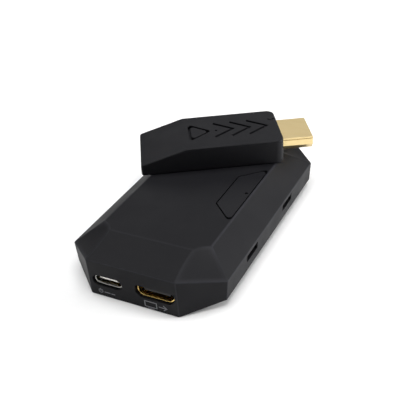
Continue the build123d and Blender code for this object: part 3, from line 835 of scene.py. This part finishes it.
class STREAM_OT_video_port(Operator):
    """Builds the mini video port: its gold sleeve, tongue and contacts"""
    bl_idname = "stream.video_port"
    bl_label = "Video Port"

    def execute(self, context):
        gold = plated("gold plated deep-drawn steel", finish().pale_gold, 0.22, 0.32)
        corner = context.scene.stream_shell.port_corner
        port_sleeve("video_sleeve", "video_shell", corner, gold, "gold_plate")
        softened_copy("video_tongue", "video_tongue_block", "box", "connector_black", moulded_lcp(), 0.08)
        port_contacts("video_contact_strips", "video_contacts", (0.24, 4.0, 0.08), 0.8, ((10, 0), (9, 0.4)))
        return {"FINISHED"}


def ink_stroke(ink, points, width):
    """A flat stroke of ink along a line of (x, z) points on the front face."""
    half = width / 2
    for start, end in zip(points, points[1:]):
        a, b = Vector(start), Vector(end)
        along = (b - a).normalized() * half
        across = Vector((-along.y, along.x))
        outline = [a - along - across, b + along - across, b + along + across, a - along + across]
        ink.faces.new([ink.verts.new((x, 0, z)) for x, z in outline])


class STREAM_OT_port_marks(Operator):
    """Prints a generic pictogram under each port: a power mark and a screen"""
    bl_idname = "stream.port_marks"
    bl_label = "Port Marks"

    def execute(self, context):
        s = context.scene.stream_shell
        ink = bmesh.new()
        stroke, film, lift = 0.3 * MM, 0.02 * MM, 0.012 * MM
        power_mark = [ring(-10.5, 1.85, 0.6, arc(130, 410, 14)), [(-10.5, 1.9), (-10.5, 2.6)],
                      [(-9.2, 1.7), (-7.6, 1.7)], [(-7.0, 1.65), (-6.1, 1.65)]]
        screen = [[(3.5, 0.95), (7.1, 0.95), (7.1, 2.8), (3.5, 2.8), (3.5, 0.95)], [(4.5, 0.45), (6.1, 0.45)]]
        arrow = [[(7.9, 1.85), (10.2, 1.85)], [(9.3, 2.6), (10.2, 1.85), (9.3, 1.1)]]
        for line in power_mark + screen + arrow:
            ink_stroke(ink, [Vector(p) * MM for p in line], stroke)
        for vertex in ink.verts:
            lean = s.draft * (1 - vertex.co.z / s.end_top)
            vertex.co.y = SHELL_LOW.y + lean - lift
        mark = to_object(ink, "port_marks")
        thick = mark.modifiers.new("film", "SOLIDIFY")
        thick.thickness = film
        bake(mark)
        place_piece(mark, "box", "soft_touch_black", pad_ink(finish().ink))
        return {"FINISHED"}


class STREAM_OT_box_button(Operator):
    """Builds the box's trapezoid button, its light pipe and switch"""
    bl_idname = "stream.box_button"
    bl_label = "Box Button"

    def execute(self, context):
        softened_copy("box_button", "box_button_cap", "box_button", "button_black", cap_plastic(), 0.18)
        softened_copy("box_light_pipe", "box_light_guide", "box_button", "light_guide", clear_light_guide())
        softened_copy("box_switch_plunger", "box_plunger", "box_button", "connector_black", moulded_lcp())
        softened_copy("box_switch", "box_switch_body", "box", "chip_black", moulded_lcp())
        return {"FINISHED"}


class STREAM_OT_boards(Operator):
    """Gives the boards, chips, shields and pads inside both housings their materials"""
    bl_idname = "stream.boards"
    bl_label = "Boards And Chips"

    def execute(self, context):
        epoxy = plain_grained("moulded epoxy chip package", "#141415", "#1f1f21", 0.1 * MM, 0.6)
        can = plain_grained("tin plated shield can", "#b9b7b2", "#cac8c3", 0.3 * MM, 0.35, 1.0)
        alloy = plain_grained("extruded aluminium", "#c4c6c9", "#d4d6d9", 0.3 * MM, 0.4, 1.0)
        silicone = plain_grained("silicone thermal pad", "#8f9499", "#a2a7ac", 0.4 * MM, 0.8)
        ceramic = plain_grained("fired chip ceramic", "#8a7355", "#a0886a", 0.15 * MM, 0.5)
        resin = plain_grained("clear moulded LED resin", "#c9c9bd", "#dcdccf", 0.1 * MM, 0.3)
        coats = {
            "box_board": solder_mask(), "dongle_board": solder_mask(),
            "box_processor": epoxy, "box_memory": epoxy, "dongle_processor": epoxy, "dongle_memory": epoxy,
            "radio_shield": can, "dongle_radio_shield": can, "box_heat_sink": alloy,
            "box_thermal_pad": silicone, "dongle_thermal_pad": silicone,
            "box_antenna": ceramic, "dongle_antenna": ceramic, "box_capacitors": ceramic,
            "box_led": resin, "dongle_led": resin,
        }
        for node, coat in coats.items():
            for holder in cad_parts[node].material_slots:
                holder.material = coat
        return {"FINISHED"}


# ---- The dongle ----
def dongle_solid(d, height, inset, name):
    """The dongle's closed shape in its own frame, flat and then sloping down to its tail."""
    half = d.width / 2 - inset
    front, tail = -inset, inset - d.length
    radius = d.corner - inset
    tail_radius = max(d.tail_corner - inset, d.tail_corner / 4)
    outline = []
    for x, y, r, start in ((front, half, radius, 0), (tail, half, tail_radius, 90),
                           (tail, -half, tail_radius, 180), (front, -half, radius, 270)):
        inward_x = -r if x == front else r
        inward_y = -r if y > 0 else r
        outline += ring(x + inward_x, y + inward_y, r, arc(start, start + 90, 8))
    low = -d.wall if inset else 0.0
    body = prism(outline, low, height - inset, name)
    fall = math.atan((height - d.tail_height) / (d.length - d.bend))
    reach = 2 * d.length
    wedge = slab(Vector((-reach, -reach, -inset)), Vector((0, reach, reach)))
    wedge.data.transform(Matrix.Translation((-d.bend, 0, height)) @ Matrix.Rotation(-fall, 4, "Y"))
    return carve(body, wedge)


def plug_cutter(d):
    """The hole that the plug's root passes through."""
    low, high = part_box("plug_shell")
    base = low.z - DONGLE_BASE - d.seam
    top = high.z - DONGLE_BASE + d.seam
    half = d.plug_width / 2 + d.seam
    knee = top - d.plug_side - 2 * d.seam
    outline = [(-top, -half), (-top, half), (-knee, half), (-base, half - d.plug_taper),
               (-base, d.plug_taper - half), (-knee, -half)]
    cutter = prism(outline, -2 * d.wall, d.wall)
    cutter.data.transform(Matrix.Rotation(math.radians(90), 4, "Y"))
    return cutter


def triangle_outline(d, grow):
    """The triangle of the dongle's button, pointing at the plug."""
    reach = d.button_tip - d.button_base
    side = math.hypot(reach, d.button_half)
    half = d.button_half + grow * (side + d.button_half) / reach
    base, tip = d.button_base - grow, d.button_tip + grow * side / d.button_half
    return rounded([(base, -half), (tip, 0), (base, half)], d.button_corner)


def chevron_cutter(d, tip, height):
    """One engraved arrow, pointing at the plug."""
    half = d.groove / 2
    tail = tip - d.arrow_reach
    points = [(tail, d.arrow_half + half), (tip + half, 0), (tail, -d.arrow_half - half),
              (tail - half, half - d.arrow_half), (tip - d.groove, 0), (tail - half, d.arrow_half - half)]
    return prism([(x, y + d.arrow_y) for x, y in points][::-1], height - d.groove_depth, height * 2)


def curl_cutter(d, height):
    """The small engraved half ring beside the plug."""
    outer = ring(d.curl_x, d.curl_y, d.curl_outer, arc(180, 360, 12))
    inner = ring(d.curl_x, d.curl_y, d.curl_inner, arc(360, 180, 12))
    return prism(outer + inner, height - d.groove_depth, height * 2)


class STREAM_OT_dongle_shell(Operator):
    """Builds the dongle's upper housing with its engraved arrows"""
    bl_idname = "stream.dongle_shell"
    bl_label = "Dongle Shell"

    def execute(self, context):
        d = context.scene.stream_dongle
        low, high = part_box("dongle_top_cover")
        height = high.z - low.z
        shell = dongle_solid(d, height, 0.0, "dongle_shell")
        soften(shell, d.softness, segments=4)
        carve(shell, dongle_solid(d, height, d.wall, "cutter"))
        half = d.width / 2 - d.lid_inset
        tail_end = Vector((d.lid_inset - d.length, -half, -d.wall))
        carve(shell, slab(tail_end, Vector((-d.lid_inset, half, d.wall))))
        carve(shell, plug_cutter(d))
        carve(shell, prism(triangle_outline(d, d.button_gap), height / 2, height * 2))
        pin = ring(d.pinhole_x, 0, d.pinhole, arc(0, 360, 16))
        carve(shell, prism(pin[:-1], height / 2, height * 2))
        for index in range(3):
            carve(shell, chevron_cutter(d, d.last_tip - index * d.arrow_pitch, height))
        carve(shell, curl_cutter(d, height))
        soften(shell, d.cut_softness, segments=1, angle=50)
        shade(shell)
        shell.data.transform(DONGLE_PLACE)
        place_piece(shell, "dongle", "soft_touch_black", dongle_plastic(), "dongle_top_cover")
        return {"FINISHED"}


class STREAM_OT_dongle_lid(Operator):
    """Builds the dongle's lower housing"""
    bl_idname = "stream.dongle_lid"
    bl_label = "Dongle Lid"

    def execute(self, context):
        softened_copy("dongle_bottom_cover", "dongle_lid", "dongle", "lid_black", dongle_plastic(), 0.15, 30)
        return {"FINISHED"}


class STREAM_OT_dongle_button(Operator):
    """Builds the triangular button, its light pipe and switch"""
    bl_idname = "stream.dongle_button"
    bl_label = "Dongle Button"

    def execute(self, context):
        softened_copy("dongle_button", "dongle_button_cap", "dongle_button", "button_black",
                      cap_plastic(), 0.15)
        softened_copy("dongle_switch_plunger", "dongle_plunger", "dongle_button", "connector_black",
                      moulded_lcp(), 0.08)
        softened_copy("dongle_switch", "dongle_switch_body", "dongle", "chip_black", moulded_lcp(), 0.08)
        softened_copy("dongle_light_pipe", "dongle_light_guide", "dongle", "light_guide", clear_light_guide())
        return {"FINISHED"}


class STREAM_OT_dongle_plug(Operator):
    """Builds the gold plug: its sleeve, core and contacts"""
    bl_idname = "stream.dongle_plug"
    bl_label = "Dongle Plug"

    def execute(self, context):
        d = context.scene.stream_dongle
        gold = plated("satin gold plated steel", finish().gold, 0.28, 0.38)
        sleeve = cad_copy("plug_shell", "plug_sleeve")
        for side in (1, -1):
            edge = side * d.plug_width / 2
            seam = slab(Vector((-1.0 * MM, edge - d.plug_seam_depth, d.plug_seam_low)),
                        Vector((11.0 * MM, edge + d.plug_seam_depth, d.plug_seam_high)))
            seam.data.transform(DONGLE_PLACE)
            carve(sleeve, seam)
        soften(sleeve, 0.1 * MM, angle=30)
        shade(sleeve)
        place_piece(sleeve, "dongle", "gold_plate", gold, "plug_shell")
        softened_copy("plug_insulator", "plug_core", "dongle", "connector_black", moulded_lcp(), 0.08)
        pitch = DONGLE_PLACE.to_3x3() @ Vector((0, 1, 0)) * MM
        rows = []
        for count, first in ((10, (4.45, -4.5, 4.76)), (9, (4.45, -4.0, 3.58))):
            start = DONGLE_PLACE @ (Vector(first) * MM)
            rows.append(contact_row(count, start, pitch, (6.5, 0.3, 0.12), DONGLE_TURN))
        join_rows(rows, "plug_contact_strips", "dongle", "plug_contacts")
        return {"FINISHED"}


# ---- The stage ----
CAMERA_PLACE = Vector((0.088932, -0.165804, 0.127688))
CAMERA_AIM = Vector((0.008852, -0.016938, 0.020796))
CAMERA_LENS = 64.91
CAMERA_ROLL = math.radians(-4.02)
# Each softbox: its place, its width and height, and its power in watts.
SOFTBOXES = {
    "overhead softbox": ((0.05, -0.1, 1.5), (1.2, 1.2), 22),
    "front softbox": ((0.1, -0.9, 1.3), (0.8, 0.8), 1.3),
    "left softbox": ((-0.9, -0.1, 1.3), (0.8, 0.8), 4.4),
    "rear left panel": ((-0.31, 0.60, 0.43), (1.0, 0.4), 1.12),
    "rear right panel": ((0.40, 0.56, 0.38), (0.4, 0.35), 1.0),
    "low right panel": ((0.62, 0.30, 0.20), (0.4, 0.25), 4.8),
}


def area_light(name, place, size, power):
    """A softbox at a place, turned to the middle of the box."""
    lamp = bpy.data.lights.new(name, "AREA")
    lamp.shape = "RECTANGLE"
    lamp.size, lamp.size_y = size
    lamp.energy = power
    obj = bpy.data.objects.new(name, lamp)
    bpy.context.scene.collection.objects.link(obj)
    obj.location = place
    obj.rotation_euler = (-Vector(place)).to_track_quat("-Z", "Y").to_euler()


class STREAM_OT_stage(Operator):
    """Sets up the pale floor, the softboxes and the camera"""
    bl_idname = "stream.stage"
    bl_label = "Stage"

    def execute(self, context):
        scene = context.scene
        scene.view_settings.view_transform = "Standard"
        ground = bmesh.new()
        bmesh.ops.create_grid(ground, x_segments=1, y_segments=1, size=3.0)
        floor = to_object(ground, "floor")
        floor.data.transform(Matrix.Translation((0, 0, SHELL_LOW.z)))
        floor.data.materials.append(plain_grained("matt paper floor", "#f8f8f8", "#fcfcfc", 2 * MM, 0.9))
        world = bpy.data.worlds.new("studio")
        world.use_nodes = True
        scene.world = world
        world.node_tree.nodes.clear()
        sight = add_node(world.node_tree, "ShaderNodeLightPath")
        seen = add_node(world.node_tree, "ShaderNodeMapRange", {"To Min": 0.01, "To Max": 1.0},
                        {"Value": sight.outputs["Is Camera Ray"]})
        glow = add_node(world.node_tree, "ShaderNodeBackground", {"Color": linear("#ffffff")},
                        {"Strength": seen.outputs["Result"]})
        add_node(world.node_tree, "ShaderNodeOutputWorld", links={"Surface": glow.outputs["Background"]})
        for name, (place, size, power) in SOFTBOXES.items():
            area_light(name, place, size, power)
        camera_data = bpy.data.cameras.new("camera")
        camera = bpy.data.objects.new("camera", camera_data)
        scene.collection.objects.link(camera)
        camera_data.lens = CAMERA_LENS
        camera_data.sensor_width = 36
        camera.location = CAMERA_PLACE
        gaze = (CAMERA_AIM - CAMERA_PLACE).to_track_quat("-Z", "Y")
        camera.rotation_mode = "QUATERNION"
        camera.rotation_quaternion = gaze @ Quaternion((0, 0, 1), CAMERA_ROLL)
        scene.camera = camera
        return {"FINISHED"}


STEPS = (
    STREAM_OT_stage, STREAM_OT_box_shell, STREAM_OT_box_lid, STREAM_OT_lid_screws, STREAM_OT_usb_port,
    STREAM_OT_video_port, STREAM_OT_port_marks, STREAM_OT_box_button, STREAM_OT_boards,
    STREAM_OT_dongle_shell, STREAM_OT_dongle_lid, STREAM_OT_dongle_button, STREAM_OT_dongle_plug,
)


class STREAM_PT_panel(Panel):
    """Lists the steps that build the set"""
    bl_idname = "STREAM_PT_panel"
    bl_label = "Streaming Set"
    bl_space_type = "VIEW_3D"
    bl_region_type = "UI"
    bl_category = "Streaming Set"

    def draw(self, context):
        for step in STEPS:
            self.layout.operator(step.bl_idname)


CLASSES = (STREAM_PG_shell, STREAM_PG_dongle, STREAM_PG_finish, *STEPS, STREAM_PT_panel)


def register():
    for cls in CLASSES:
        bpy.utils.register_class(cls)
    bpy.types.Scene.stream_shell = PointerProperty(type=STREAM_PG_shell)
    bpy.types.Scene.stream_dongle = PointerProperty(type=STREAM_PG_dongle)
    bpy.types.Scene.stream_finish = PointerProperty(type=STREAM_PG_finish)


def unregister():
    del bpy.types.Scene.stream_finish
    del bpy.types.Scene.stream_dongle
    del bpy.types.Scene.stream_shell
    for cls in reversed(CLASSES):
        bpy.utils.unregister_class(cls)


def main():
    register()
    for step in STEPS:
        group, name = step.bl_idname.split(".")
        getattr(getattr(bpy.ops, group), name)()


if __name__ == "__main__":
    main()
